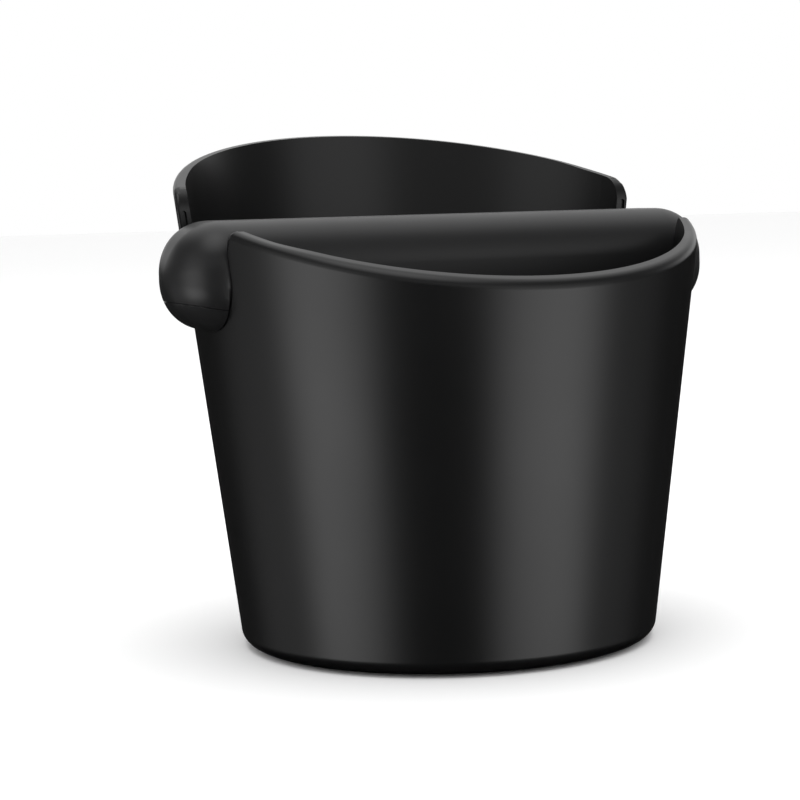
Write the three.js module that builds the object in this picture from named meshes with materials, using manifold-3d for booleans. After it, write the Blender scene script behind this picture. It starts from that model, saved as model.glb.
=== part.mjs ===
// An espresso knock box: a tapered moulded tub with a slanting rim, and a rubber-covered
// bar that drops into two open slots in its wall and lifts straight out for cleaning.
//
// Millimetres. +X runs along the bar, +Y points to the high back of the rim, +Z is up.
// The origin is on the tub's own axis, on the surface that the box stands on.

import * as THREE from "three";
import { mergeVertices } from "three/addons/utils/BufferGeometryUtils.js";
import Module from "manifold-3d";

const wasm = await Module();
wasm.setup();

// ---------------------------------------------------------------- driving dimensions

const CLEARANCE = 0.35;            // running gap between pieces that part or slide
const SEAT_GAP = 0.3;              // gap between pieces that are pressed or moulded together

const TUB_HEIGHT = 124;            // to the top of the rim at the back
const FRONT_HEIGHT = 88.3;         // to the rim at the front
const BASE_DIAMETER = 100;
const FRONT_RIM_DIAMETER = 122;    // of the cone at the height of the front rim
const WALL = 3.2;
const FLOOR = 3.2;
const FOOT_RADIUS = 5.5;           // outer corner between the wall and the base
const INSIDE_RADIUS = 9;           // inner corner between the wall and the floor
const LIP_OUTER_RADIUS = 1;        // rounding of the rim's and the slots' outer edge
const LIP_INNER_RADIUS = 0.5;
const LIP_CROWN = 0.45;            // how far the rim rises towards the inside of the tub

const BAR_WIDTH = 29.7;
const BAR_HEIGHT = 25.6;
const BAR_BELOW_RIM = 2.62;        // top of the bar under the rim's plane, at the tub's axis
const BAR_TOP_RADIUS = 11;
const BAR_BOTTOM_RADIUS = 10.5;
const KNOB_REACH = 12.7;           // from the knob's widest section to its nose
const KNOB_FULLNESS = 2.05;        // 2 is an ellipse, more is squarer
const KNOB_NOSE_RADIUS = 0.4;      // of the small flat at the very end

const SADDLE_DEPTH = 2.7;          // how far the wall stands up into the underside of the bar
const SLOT_CORNER_RADIUS = 9.8;
const SLOT_BACK_RADIUS = 6.5;      // where the slot's back edge meets the rim
const SLOT_FRONT_RADIUS = 4;
const CHANNEL_WIDTH = 1.3;         // moulded relief in the edges of the slots
const CHANNEL_DEPTH = 0.9;
const CHANNEL_TOP_DROP = 1.9;      // below the lowest point of the slot's back corner

const CORE_DIAMETER = 12;
const CORE_WALL = 1.5;
const CORE_END_INSET = 7.7;        // from the knob's widest section to the end of the tube
const SPIGOT_LENGTH = 12;          // of the carrier, inside the end of the core tube
const CARRIER_DIAMETER = 16;
const CARRIER_LENGTH = 14;
const CARRIER_POST_WIDTH = 12;
const CARRIER_UNDERSIDE_HEIGHT = 5.3;
const CARRIER_UNDERSIDE_RISE = 0.2; // slope of its upper face towards the nose

const PAD_MARGIN = 9;              // from the edge of the pad out to the nominal base diameter
const PAD_THICKNESS = 2.4;
const PAD_PROUD = 0.5;             // how far the pad holds the tub off the counter
const PAD_GROOVE_COUNT = 3;        // grip grooves in its underside
const PAD_GROOVE_SPACING = 8;
const PAD_GROOVE_MARGIN = 11;      // from the pad's edge to the outermost groove
const PAD_GROOVE_WIDTH = 2.4;
const PAD_GROOVE_DEPTH = 0.8;

// ---------------------------------------------------------------- sizes that follow

const DRAFT = (FRONT_RIM_DIAMETER - BASE_DIAMETER) / 2 / FRONT_HEIGHT;
const outerRadius = (z) => BASE_DIAMETER / 2 + DRAFT * z;

const FRONT_REACH = outerRadius(FRONT_HEIGHT);
const BACK_REACH = outerRadius(TUB_HEIGHT);
const RIM_SLOPE = (TUB_HEIGHT - FRONT_HEIGHT) / (FRONT_REACH + BACK_REACH);
const RIM_AT_AXIS = FRONT_HEIGHT + RIM_SLOPE * FRONT_REACH;

const BAR_TOP = RIM_AT_AXIS - BAR_BELOW_RIM;
const BAR_BOTTOM = BAR_TOP - BAR_HEIGHT;
const SLOT_HALF_WIDTH = BAR_WIDTH / 2 + CLEARANCE;
const SLOT_FLOOR = BAR_BOTTOM + SADDLE_DEPTH;
const BAR_AXIS_Z = (BAR_TOP + BAR_BOTTOM) / 2;
const KNOB_START = outerRadius(BAR_BOTTOM) - WALL + 1;
const BAR_HALF_LENGTH = KNOB_START + KNOB_REACH;
const CORE_LENGTH = (KNOB_START - CORE_END_INSET) * 2;
const PAD_DIAMETER = BASE_DIAMETER - PAD_MARGIN * 2;
const WAIST_HEIGHT = BAR_BOTTOM - 12; // level ring of the tub, below both slots

// ---------------------------------------------------------------- shared solid tools

/** Turns a closed three.js geometry into a solid that can be joined and cut. */
function solidFrom(geometry) {
  const bare = geometry.index ? geometry.clone() : geometry;
  bare.deleteAttribute("normal");
  bare.deleteAttribute("uv");
  const welded = mergeVertices(bare, 1e-4);
  const mesh = new wasm.Mesh({
    numProp: 3,
    vertProperties: new Float32Array(welded.attributes.position.array),
    triVerts: new Uint32Array(welded.index.array),
  });
  return new wasm.Manifold(mesh);
}

/** Gives a solid back as a three.js geometry with flat facets. */
function geometryFrom(solid) {
  const { vertProperties, triVerts, numProp } = solid.getMesh();
  const positions = new Float32Array(triVerts.length * 3);
  triVerts.forEach((vertex, corner) => {
    for (let axis = 0; axis < 3; axis += 1) {
      positions[corner * 3 + axis] = vertProperties[vertex * numProp + axis];
    }
  });
  const geometry = new THREE.BufferGeometry();
  geometry.setAttribute("position", new THREE.BufferAttribute(positions, 3));
  geometry.computeVertexNormals();
  return geometry;
}

/** Skins a list of rings, each with the same number of points, and closes both ends. */
function skinRings(rings) {
  const count = rings[0].length;
  const positions = rings.flat().flatMap((point) => [point.x, point.y, point.z]);
  const indices = [];
  for (let ring = 0; ring + 1 < rings.length; ring += 1) {
    for (let i = 0; i < count; i += 1) {
      const next = (i + 1) % count;
      const a = ring * count + i;
      const b = ring * count + next;
      const c = a + count;
      const d = b + count;
      indices.push(a, b, d, a, d, c);
    }
  }
  const capEnd = (ring, forwards) => {
    const centre = rings[ring].reduce((sum, point) => sum.add(point), new THREE.Vector3());
    centre.divideScalar(count);
    const apex = positions.length / 3;
    positions.push(centre.x, centre.y, centre.z);
    for (let i = 0; i < count; i += 1) {
      const a = ring * count + i;
      const b = ring * count + ((i + 1) % count);
      indices.push(...(forwards ? [apex, a, b] : [apex, b, a]));
    }
  };
  capEnd(0, false);
  capEnd(rings.length - 1, true);
  const geometry = new THREE.BufferGeometry();
  geometry.setAttribute("position", new THREE.Float32BufferAttribute(positions, 3));
  geometry.setIndex(indices);
  return geometry;
}

/** Points of an arc about a centre, both ends included. */
function arcPoints(centreX, centreY, radius, startAngle, endAngle, steps) {
  const points = [];
  for (let i = 0; i <= steps; i += 1) {
    const angle = THREE.MathUtils.lerp(startAngle, endAngle, i / steps);
    points.push(new THREE.Vector2(
      centreX + radius * Math.cos(angle),
      centreY + radius * Math.sin(angle),
    ));
  }
  return points;
}

/** The arc that rounds the corner of a path, tangent to both of its sides. */
function roundedCorner(before, corner, after, radius, steps) {
  const back = before.clone().sub(corner).normalize();
  const ahead = after.clone().sub(corner).normalize();
  const halfAngle = Math.acos(THREE.MathUtils.clamp(back.dot(ahead), -1, 1)) / 2;
  const bisector = back.clone().add(ahead).normalize();
  const centre = corner.clone().addScaledVector(bisector, radius / Math.sin(halfAngle));
  const reach = radius / Math.tan(halfAngle);
  const start = corner.clone().addScaledVector(back, reach).sub(centre);
  const end = corner.clone().addScaledVector(ahead, reach).sub(centre);
  const turn = Math.atan2(start.cross(end), start.dot(end));
  return arcPoints(centre.x, centre.y, radius, start.angle(), start.angle() + turn, steps);
}

/** A revolved piece with its axis on Z, from a closed profile of [radius, height] pairs. */
function revolved(profile, segments) {
  const points = profile.map(([radius, height]) => new THREE.Vector2(radius, height));
  const geometry = new THREE.LatheGeometry(points, segments);
  return geometry.rotateX(Math.PI / 2);
}

/** A round bar along X between two places, centred on the bar's axis. */
function roundAlongX(radius, fromX, toX, segments) {
  const geometry = new THREE.CylinderGeometry(radius, radius, toX - fromX, segments);
  geometry.rotateZ(-Math.PI / 2);
  return geometry.translate((fromX + toX) / 2, 0, BAR_AXIS_Z);
}

/** A prism along X with a given outline in Y and Z. */
function prismAlongX(outline, fromX, toX) {
  const shape = new THREE.Shape(outline);
  const geometry = new THREE.ExtrudeGeometry(shape, { depth: toX - fromX, bevelEnabled: false });
  geometry.applyMatrix4(new THREE.Matrix4().makeBasis(
    new THREE.Vector3(0, 1, 0),
    new THREE.Vector3(0, 0, 1),
    new THREE.Vector3(1, 0, 0),
  ));
  return geometry.translate(fromX, 0, 0);
}

// ---------------------------------------------------------------- tub

/** Height of the rim's flat, slanting edge at an angle round the tub, on the outer face. */
function rimHeight(angle) {
  const sine = Math.sin(angle);
  return (RIM_AT_AXIS + RIM_SLOPE * (BASE_DIAMETER / 2) * sine) / (1 - RIM_SLOPE * DRAFT * sine);
}

/** Height of the rim's edge at a distance Y from the bar's axis, on the right-hand side. */
function rimHeightAt(y) {
  let height = RIM_AT_AXIS;
  for (let pass = 0; pass < 6; pass += 1) {
    height = rimHeight(Math.asin(y / outerRadius(height)));
  }
  return height;
}

/**
 * One slot's edge as seen from the end of the bar: down from the front rim, round the
 * U-shaped seat, and up to the back rim.
 */
function slotEdge() {
  const width = SLOT_HALF_WIDTH;
  const rimPoint = (y) => new THREE.Vector2(y, rimHeightAt(y));
  const seatCentre = SLOT_FLOOR + SLOT_CORNER_RADIUS;
  const seatY = width - SLOT_CORNER_RADIUS;
  const front = roundedCorner(
    rimPoint(-width - 12),
    rimPoint(-width),
    new THREE.Vector2(-width, seatCentre),
    SLOT_FRONT_RADIUS,
    4,
  );
  const back = roundedCorner(
    new THREE.Vector2(width, seatCentre),
    rimPoint(width),
    rimPoint(width + 12),
    SLOT_BACK_RADIUS,
    7,
  );
  const seatFront = arcPoints(
    -seatY, seatCentre, SLOT_CORNER_RADIUS, Math.PI, Math.PI * 1.5, 7,
  );
  const seatBack = arcPoints(seatY, seatCentre, SLOT_CORNER_RADIUS, Math.PI * 1.5, Math.PI * 2, 7);
  const sideMiddle = (y, from, to) => new THREE.Vector2(y, (from + to) / 2);
  return [
    ...front,
    sideMiddle(-width, front.at(-1).y, seatCentre),
    ...seatFront,
    new THREE.Vector2(0, SLOT_FLOOR),
    ...seatBack,
    sideMiddle(width, seatCentre, back[0].y),
    ...back,
  ];
}

/**
 * Gives each point of a stretch of the edge its place on the tub's level rings. Steep runs
 * of the edge count for less than their length, so that the rings stay evenly divided.
 */
function withLevels(stretch, fromLevel, toLevel) {
  const steepShare = 0.45;
  const travelled = [0];
  for (let i = 1; i < stretch.length; i += 1) {
    const across = (stretch[i].angle - stretch[i - 1].angle) * outerRadius(stretch[i].z);
    const upward = Math.abs(stretch[i].z - stretch[i - 1].z);
    travelled.push(travelled[i - 1] + Math.abs(across) + upward * steepShare);
  }
  return stretch.map((point, i) => ({
    ...point,
    level: THREE.MathUtils.lerp(fromLevel, toLevel, travelled[i] / travelled.at(-1)),
  }));
}

/** The whole upper edge of the wall, as points of angle and height on its outer face. */
function wallEdge() {
  const frontMiddle = -Math.PI / 2;
  const backMiddle = Math.PI / 2;
  const slot = slotEdge().map(({ x: y, y: z }) => ({ angle: Math.asin(y / outerRadius(z)), z }));
  const slotMiddle = slot.findIndex(({ angle }) => angle === 0);
  const rimStretch = (from, to) => {
    const steps = 20;
    const stretch = [];
    for (let i = 1; i < steps; i += 1) {
      const angle = THREE.MathUtils.lerp(from, to, i / steps);
      stretch.push({ angle, z: rimHeight(angle) });
    }
    return stretch;
  };
  const frontQuarter = withLevels([
    { angle: frontMiddle, z: rimHeight(frontMiddle) },
    ...rimStretch(frontMiddle, slot[0].angle),
    ...slot.slice(0, slotMiddle + 1),
  ], frontMiddle, 0);
  const backQuarter = withLevels([
    ...slot.slice(slotMiddle),
    ...rimStretch(slot.at(-1).angle, backMiddle),
    { angle: backMiddle, z: rimHeight(backMiddle) },
  ], 0, backMiddle);
  const right = [...frontQuarter, ...backQuarter.slice(1)];
  const left = right.slice(1, -1).reverse().map(({ angle, z, level }) => (
    { angle: Math.PI - angle, z, level: Math.PI - level }
  ));
  return [...right, ...left];
}

/**
 * A point at a depth under the outer face. Near the slots the depth is measured along the
 * bar, so that a slot's two sides are parallel, and elsewhere towards the tub's axis.
 */
function pointInWall(angle, z, depth) {
  const nearSine = 0.4;
  const farSine = 0.9;
  const radius = outerRadius(z) - depth;
  const farShare = THREE.MathUtils.smoothstep(Math.abs(Math.sin(angle)), nearSine, farSine);
  const spread = (1 - farShare) * (outerRadius(z) / radius - 1);
  const sine = Math.sin(angle) * (1 + spread);
  const cosine = Math.sign(Math.cos(angle)) * Math.sqrt(Math.max(0, 1 - sine ** 2));
  return new THREE.Vector3(radius * cosine, radius * sine, z);
}

/**
 * The tub is skinned from rings that run over its whole surface: from the middle of the
 * underside, up the outer wall, over the rounded lip, and down inside to the floor. The
 * lip follows the rim and both slots in one piece, so the slots are open and rounded.
 */
function tubShell() {
  const edge = wallEdge();
  const count = edge.length;
  const flat = edge.map(({ angle, z }) => new THREE.Vector2(angle * outerRadius(z), z));
  const turnLength = (z) => Math.PI * 2 * outerRadius(z);

  // Outward direction of the edge in the unrolled wall, away from the material.
  const outward = flat.map((point, i) => {
    const previous = flat[(i + count - 1) % count].clone();
    const next = flat[(i + 1) % count].clone();
    if (i === 0) previous.x -= turnLength(previous.y);
    if (i === count - 1) next.x += turnLength(next.y);
    const along = next.sub(previous).normalize();
    return new THREE.Vector2(-along.y, along.x);
  });

  const seatTop = SLOT_FLOOR + SLOT_CORNER_RADIUS;
  const levelRing = (radius, z) => edge.map(({ level }) => new THREE.Vector3(
    radius * Math.cos(level),
    radius * Math.sin(level),
    z,
  ));

  /** A ring under the edge: a share of the way up from the waist, inset, and at a depth. */
  const wallRing = (share, inset, depth) => flat.map((point, i) => {
    const top = point.clone().addScaledVector(outward[i], -inset);
    const rise = point.y > seatTop ? LIP_CROWN * (depth / WALL) * outward[i].y : 0;
    const topAngle = top.x / outerRadius(top.y);
    const angle = THREE.MathUtils.lerp(edge[i].level, topAngle, share);
    const z = THREE.MathUtils.lerp(WAIST_HEIGHT, top.y + rise, share);
    return pointInWall(angle, z, depth);
  });

  const tilt = Math.atan(DRAFT);
  const footCentreZ = PAD_PROUD + FOOT_RADIUS;
  const footCentreR = outerRadius(footCentreZ) - FOOT_RADIUS / Math.cos(tilt);
  const foot = arcPoints(footCentreR, footCentreZ, FOOT_RADIUS, -Math.PI / 2, -tilt, 5);
  const recessTop = PAD_THICKNESS + SEAT_GAP;
  const floorTop = recessTop + FLOOR;
  const innerCentreZ = floorTop + INSIDE_RADIUS;
  const innerCentreR = outerRadius(innerCentreZ) - WALL - INSIDE_RADIUS / Math.cos(tilt);
  const corner = arcPoints(innerCentreR, innerCentreZ, INSIDE_RADIUS, -tilt, -Math.PI / 2, 5);
  const recessRadius = PAD_DIAMETER / 2 + SEAT_GAP;

  const shares = [0.25, 0.5, 0.75];
  const rounding = (radius) => [0, Math.PI / 4, Math.PI / 2].map((turn) => (
    { inset: radius * (1 - Math.sin(turn)), depth: radius * (1 - Math.cos(turn)) }
  ));
  const outerLip = rounding(LIP_OUTER_RADIUS);
  const innerLip = rounding(LIP_INNER_RADIUS).reverse();

  const rings = [
    levelRing(recessRadius * 0.5, recessTop),
    levelRing(recessRadius, recessTop),
    levelRing(recessRadius, PAD_PROUD),
    ...foot.map((point) => levelRing(point.x, point.y)),
    levelRing(outerRadius(WAIST_HEIGHT), WAIST_HEIGHT),
    ...shares.map((share) => wallRing(share, LIP_OUTER_RADIUS, 0)),
    ...outerLip.map(({ inset, depth }) => wallRing(1, inset, depth)),
    ...innerLip.map(({ inset, depth }) => wallRing(1, inset, WALL - depth)),
    ...shares.toReversed().map((share) => wallRing(share, LIP_INNER_RADIUS, WALL)),
    wallRing(0, 0, WALL),
    ...corner.map((point) => levelRing(point.x, point.y)),
    levelRing(innerCentreR * 0.5, floorTop),
  ];
  return skinRings(rings);
}

/** The shallow reliefs moulded into both edges of the right-hand slot, half way in. */
function slotChannel() {
  const top = rimHeightAt(SLOT_HALF_WIDTH) - SLOT_BACK_RADIUS + CHANNEL_TOP_DROP;
  const bottom = SLOT_FLOOR + SLOT_CORNER_RADIUS;
  const half = CHANNEL_WIDTH / 2;
  const middleX = (z) => {
    const radius = outerRadius(z) - WALL / 2;
    return Math.sqrt(radius ** 2 - SLOT_HALF_WIDTH ** 2);
  };
  const outline = new THREE.Shape([
    new THREE.Vector2(middleX(bottom) - half, bottom),
    new THREE.Vector2(middleX(bottom) + half, bottom),
    new THREE.Vector2(middleX(top) + half, top - half),
    new THREE.Vector2(middleX(top), top),
    new THREE.Vector2(middleX(top) - half, top - half),
  ]);
  const width = (SLOT_HALF_WIDTH + CHANNEL_DEPTH) * 2;
  const geometry = new THREE.ExtrudeGeometry(outline, { depth: width, bevelEnabled: false });
  return geometry.rotateX(Math.PI / 2).translate(0, width / 2, 0);
}

/** Tub: one injection-moulded shell with a slanting rim, two slots and a recessed base. */
function tub() {
  const shell = solidFrom(tubShell());
  const channel = solidFrom(slotChannel());
  return geometryFrom(shell.subtract(channel).subtract(channel.rotate([0, 0, 180])));
}

/** Base pad: a soft disc pressed into the recess under the floor, grooved for grip. */
function basePad() {
  const radius = PAD_DIAMETER / 2;
  const edge = 0.5;
  const grooveDraft = 0.3;
  const underside = [[0, 0]];
  for (let i = PAD_GROOVE_COUNT - 1; i >= 0; i -= 1) {
    const groove = radius - PAD_GROOVE_MARGIN - PAD_GROOVE_SPACING * i;
    const inner = groove - PAD_GROOVE_WIDTH / 2;
    const outer = groove + PAD_GROOVE_WIDTH / 2;
    underside.push([inner, 0], [inner + grooveDraft, PAD_GROOVE_DEPTH]);
    underside.push([outer - grooveDraft, PAD_GROOVE_DEPTH], [outer, 0]);
  }
  const profile = [
    ...underside,
    [radius - edge, 0],
    [radius, edge],
    [radius, PAD_THICKNESS],
    [0, PAD_THICKNESS],
  ];
  return geometryFrom(solidFrom(revolved(profile, 48)));
}

// ---------------------------------------------------------------- knock bar

/** Section of the bar in Y and Z: flat-sided, with large soft corners. */
function barSection() {
  const half = BAR_WIDTH / 2;
  const topZ = BAR_TOP - BAR_TOP_RADIUS;
  const bottomZ = BAR_BOTTOM + BAR_BOTTOM_RADIUS;
  const topY = half - BAR_TOP_RADIUS;
  const bottomY = half - BAR_BOTTOM_RADIUS;
  const quarter = Math.PI / 2;
  return [
    ...arcPoints(bottomY, bottomZ, BAR_BOTTOM_RADIUS, -quarter, 0, 9),
    ...arcPoints(topY, topZ, BAR_TOP_RADIUS, 0, quarter, 9),
    ...arcPoints(-topY, topZ, BAR_TOP_RADIUS, quarter, quarter * 2, 9),
    ...arcPoints(-bottomY, bottomZ, BAR_BOTTOM_RADIUS, quarter * 2, quarter * 3, 9),
  ];
}

/** The bar's whole outer form, with a rounded knob at each end. */
function barForm() {
  const section = barSection();
  const ringAt = (x, scale) => section.map(({ x: y, y: z }) => new THREE.Vector3(
    x,
    y * scale,
    BAR_AXIS_Z + (z - BAR_AXIS_Z) * scale,
  ));
  const knob = [0, 12, 24, 36, 48, 60, 70, 78, 84].map((degrees) => {
    const share = Math.sin(THREE.MathUtils.degToRad(degrees));
    const scale = (1 - share ** KNOB_FULLNESS) ** (1 / KNOB_FULLNESS);
    return { x: KNOB_START + KNOB_REACH * share, scale };
  });
  const left = knob.toReversed().map(({ x, scale }) => ringAt(-x, scale));
  const right = knob.map(({ x, scale }) => ringAt(x, scale));
  const nose = (side) => section.map((_, i) => {
    const turn = (i / section.length) * Math.PI * 2 - Math.PI / 2;
    return new THREE.Vector3(
      side * BAR_HALF_LENGTH,
      KNOB_NOSE_RADIUS * Math.cos(turn),
      BAR_AXIS_Z + KNOB_NOSE_RADIUS * Math.sin(turn),
    );
  });
  return solidFrom(skinRings([nose(-1), ...left, ...right, nose(1)]));
}

/** What is cut from the underside of the bar so that it sits astride the tub's wall. */
function saddleCut() {
  const low = BAR_BOTTOM - 4;
  const high = SLOT_FLOOR + SLOT_CORNER_RADIUS + 1;
  const wallBand = solidFrom(revolved([
    [outerRadius(low) - WALL - CLEARANCE, low],
    [outerRadius(low) + CLEARANCE, low],
    [outerRadius(high) + CLEARANCE, high],
    [outerRadius(high) - WALL - CLEARANCE, high],
    [outerRadius(low) - WALL - CLEARANCE, low],
  ], 96));
  const overcut = 0.02;
  const half = SLOT_HALF_WIDTH - CLEARANCE + overcut;
  const radius = SLOT_CORNER_RADIUS - CLEARANCE;
  const floor = SLOT_FLOOR + CLEARANCE;
  const outline = [
    ...arcPoints(-half + radius, floor + radius, radius, Math.PI, Math.PI * 1.5, 9),
    ...arcPoints(half - radius, floor + radius, radius, Math.PI * 1.5, Math.PI * 2, 9),
    new THREE.Vector2(half, high + 5),
    new THREE.Vector2(-half, high + 5),
  ];
  const neck = solidFrom(prismAlongX(outline, -BAR_HALF_LENGTH, BAR_HALF_LENGTH));
  return wallBand.subtract(neck);
}

/** The wedge of the bar, at its right-hand end, that belongs to the rigid carrier. */
function undersideWedge(gap) {
  const seamStart = CORE_LENGTH / 2 - SEAT_GAP - gap;
  const flatEnd = outerRadius(BAR_BOTTOM);
  const seamZ = BAR_BOTTOM + CARRIER_UNDERSIDE_HEIGHT + gap;
  const end = BAR_HALF_LENGTH + 2;
  const depth = BAR_WIDTH * 1.2;
  const outline = new THREE.Shape([
    new THREE.Vector2(seamStart, BAR_BOTTOM - 2),
    new THREE.Vector2(end, BAR_BOTTOM - 2),
    new THREE.Vector2(end, seamZ + (end - flatEnd) * CARRIER_UNDERSIDE_RISE),
    new THREE.Vector2(flatEnd, seamZ),
    new THREE.Vector2(seamStart, seamZ),
  ]);
  const geometry = new THREE.ExtrudeGeometry(outline, { depth, bevelEnabled: false });
  return solidFrom(geometry.rotateX(Math.PI / 2).translate(0, depth / 2, 0));
}

/** The carrier's body, which fills the core of the knob and stands on its underside. */
function carrierBody(gap) {
  const start = CORE_LENGTH / 2 + SEAT_GAP - gap;
  const length = CARRIER_LENGTH + gap * 2;
  const round = roundAlongX(CARRIER_DIAMETER / 2 + gap, start, start + length, 40);
  const postFoot = SLOT_FLOOR + CLEARANCE + 1;
  const postHeight = BAR_AXIS_Z - postFoot;
  const post = new THREE.BoxGeometry(length, CARRIER_POST_WIDTH + gap * 2, postHeight);
  post.translate(start + length / 2, 0, postFoot + postHeight / 2);
  return solidFrom(round).add(solidFrom(post));
}

/** End carrier: underside of the knob, saddle and core in one rigid moulding. */
function rightCarrier(form) {
  const underside = form.intersect(undersideWedge(0));
  const spigotEnd = CORE_LENGTH / 2 + SEAT_GAP + 1;
  const spigotRadius = CORE_DIAMETER / 2 - CORE_WALL - SEAT_GAP;
  const spigot = solidFrom(roundAlongX(spigotRadius, spigotEnd - SPIGOT_LENGTH, spigotEnd, 32));
  return underside.add(carrierBody(0)).add(spigot);
}

/** Core tube: the steel that takes the blows, open at both ends. */
function coreTube() {
  const outer = CORE_DIAMETER / 2;
  const inner = outer - CORE_WALL;
  const half = CORE_LENGTH / 2;
  const profile = [[inner, -half], [outer, -half], [outer, half], [inner, half], [inner, -half]];
  const geometry = revolved(profile, 40).rotateY(Math.PI / 2).translate(0, 0, BAR_AXIS_Z);
  return geometryFrom(solidFrom(geometry));
}

/** Cushion: the rubber moulded over the core and round the tops of both carriers. */
function barCushion(form) {
  const tubeRadius = CORE_DIAMETER / 2 + SEAT_GAP;
  const half = CORE_LENGTH / 2 + SEAT_GAP;
  const bore = solidFrom(roundAlongX(tubeRadius, -half, half, 40));
  const rightHollow = undersideWedge(SEAT_GAP).add(carrierBody(SEAT_GAP));
  const leftHollow = rightHollow.rotate([0, 0, 180]);
  return geometryFrom(form.subtract(bore).subtract(rightHollow).subtract(leftHollow));
}

// ---------------------------------------------------------------- assembly

const blackMoulding = { color: 0x161616, roughness: 0.36, metalness: 0 };
const blackNylon = { color: 0x1a1a1a, roughness: 0.5, metalness: 0 };
const blackRubber = { color: 0x1c1c1d, roughness: 0.58, metalness: 0 };
const steel = { color: 0xb4b6b8, roughness: 0.3, metalness: 1 };

/** Names a piece and gives it a material of its own. */
function piece(name, geometry, finish) {
  const mesh = new THREE.Mesh(geometry, new THREE.MeshStandardMaterial(finish));
  mesh.name = name;
  return mesh;
}

/** The lift-out bar: steel core, two rigid ends and the rubber over them. */
function knockBar() {
  const form = barForm().subtract(saddleCut());
  const carrier = rightCarrier(form);
  const bar = new THREE.Group();
  bar.add(
    piece("bar_cushion", barCushion(form), blackRubber),
    piece("core_tube", coreTube(), steel),
    piece("right_end_carrier", geometryFrom(carrier), blackNylon),
    piece("left_end_carrier", geometryFrom(carrier.rotate([0, 0, 180])), blackNylon),
  );
  return bar;
}

const knockBox = new THREE.Group();
knockBox.name = "knock_box";
knockBox.add(
  piece("tub", tub(), blackMoulding),
  piece("base_pad", basePad(), blackRubber),
  knockBar(),
);

export default knockBox;
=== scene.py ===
# An espresso knock box: a tapered tub of satin black ABS with a slanting rim, and a
# rubber-covered knock bar with rounded ends that lifts out of two slots in the wall.
# Metres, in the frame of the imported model: +X along the bar, +Y to the high back, +Z up.

import math

import bmesh
import bpy
from mathutils import Matrix, Vector


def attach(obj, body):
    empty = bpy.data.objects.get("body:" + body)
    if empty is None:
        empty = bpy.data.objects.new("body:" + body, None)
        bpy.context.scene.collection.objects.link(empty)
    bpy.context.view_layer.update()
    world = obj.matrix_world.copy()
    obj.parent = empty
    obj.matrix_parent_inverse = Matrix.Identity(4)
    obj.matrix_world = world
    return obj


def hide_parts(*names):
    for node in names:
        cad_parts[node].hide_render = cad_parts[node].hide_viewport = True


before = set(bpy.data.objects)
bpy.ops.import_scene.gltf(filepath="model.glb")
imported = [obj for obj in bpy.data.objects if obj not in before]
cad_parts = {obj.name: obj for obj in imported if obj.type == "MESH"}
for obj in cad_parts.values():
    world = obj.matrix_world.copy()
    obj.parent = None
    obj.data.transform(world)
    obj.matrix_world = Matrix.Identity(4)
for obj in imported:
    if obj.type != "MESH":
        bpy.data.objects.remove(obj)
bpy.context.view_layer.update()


# ------------------------------------------------------------------ tub
# The tub is one injection moulding in black ABS, satin from a finely blasted mould. Its
# wall opens by seven degrees for the draft. The rim is sliced on a slant, low in front and
# high behind, and each side has an open slot for the bar, with all its edges softened.

WALL = 0.0032
BASE_RADIUS = 0.050
DRAFT = 0.12458                      # outward lean of the wall, per metre of height
TUB_LIFT = 0.0005                    # the pad holds the moulding this far off the counter
FLOOR_TOP = 0.0059
FOOT_RADIUS = 0.0038
INSIDE_RADIUS = 0.009
RECESS_RADIUS = 0.0413
RECESS_TOP = 0.0027
RECESS_EDGE = 0.0004
WAIST = 0.074                        # a level ring of the wall, just under the slots
CUP_TOP = 0.140                      # of the turned cup, before the rim is slanted
RIM_AT_AXIS = 0.10552
RIM_SLOPE = 0.28233
LIP_CROWN = 0.0004                   # the rim rises this much towards the inside
CROWN_START = 0.027                  # distance in Y from the bar's middle
CROWN_FADE = 0.008
LIP_OUTER_EDGE = 0.0019              # along the rim, where the lip is nearly a quarter round
LIP_INNER_EDGE = 0.0005
LIP_STEPS = 7
SLOT_EDGE_SHARE = 0.38               # of the outer edge's width, down into the slots
LIP_LOWEST = 0.070                   # the whole lip is above this height
LIP_FADE = 0.004                     # depth below the rim over which the edge tightens
SLOT_HALF_WIDTH = 0.0152
SLOT_FLOOR = 0.080
SLOT_CORNER = 0.0098
SLOT_BACK_CORNER = 0.0065
SLOT_FRONT_CORNER = 0.0040
CHANNEL_WIDTH = 0.0013
CHANNEL_DEPTH = 0.0007
CHANNEL_EDGE = 0.0002
CHANNEL_TOP_RISE = 0.0019            # above the lowest point of the slot's back corner
CUTTER_TOP = 0.180
CUTTER_REACH = 0.090                 # past the tub on both sides
TURN_STEPS = 160
CORNER_STEPS = 10
PRISM_CORNER_STEPS = 12
HAIR = 1e-6                          # a distance too small to see
WELD = 2e-6                          # points closer than this become one after a cut
TOUCH = 1e-5
CROWN_ON_RIM = 2e-5                  # how near the rim's plane counts as on it
ON_RIM = 1e-4                        # the same, once the lip's crown is raised
ON_FACE = 2e-4                       # and how near a face of the wall
RIM_FLAT = math.radians(8)
LIP_SHARP = math.radians(35)
FACE_WEIGHT = 60                     # how far large faces lead the shading
HALF_ROUND = 0.98                    # just under a full half circle, so no edge closes up


def outer_radius(z):
    """Radius of the tub's outer face at a height."""
    return BASE_RADIUS + DRAFT * z


def rim_height(y):
    """Height of the slanting rim plane."""
    return RIM_AT_AXIS + RIM_SLOPE * y


def add_path(bm, points, closed=False):
    """Adds a chain of edges through points, and returns its vertices."""
    verts = [bm.verts.new(point) for point in points]
    pairs = list(zip(verts, verts[1:]))
    if closed:
        pairs.append((verts[-1], verts[0]))
    for first, second in pairs:
        bm.edges.new((first, second))
    return verts


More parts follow.
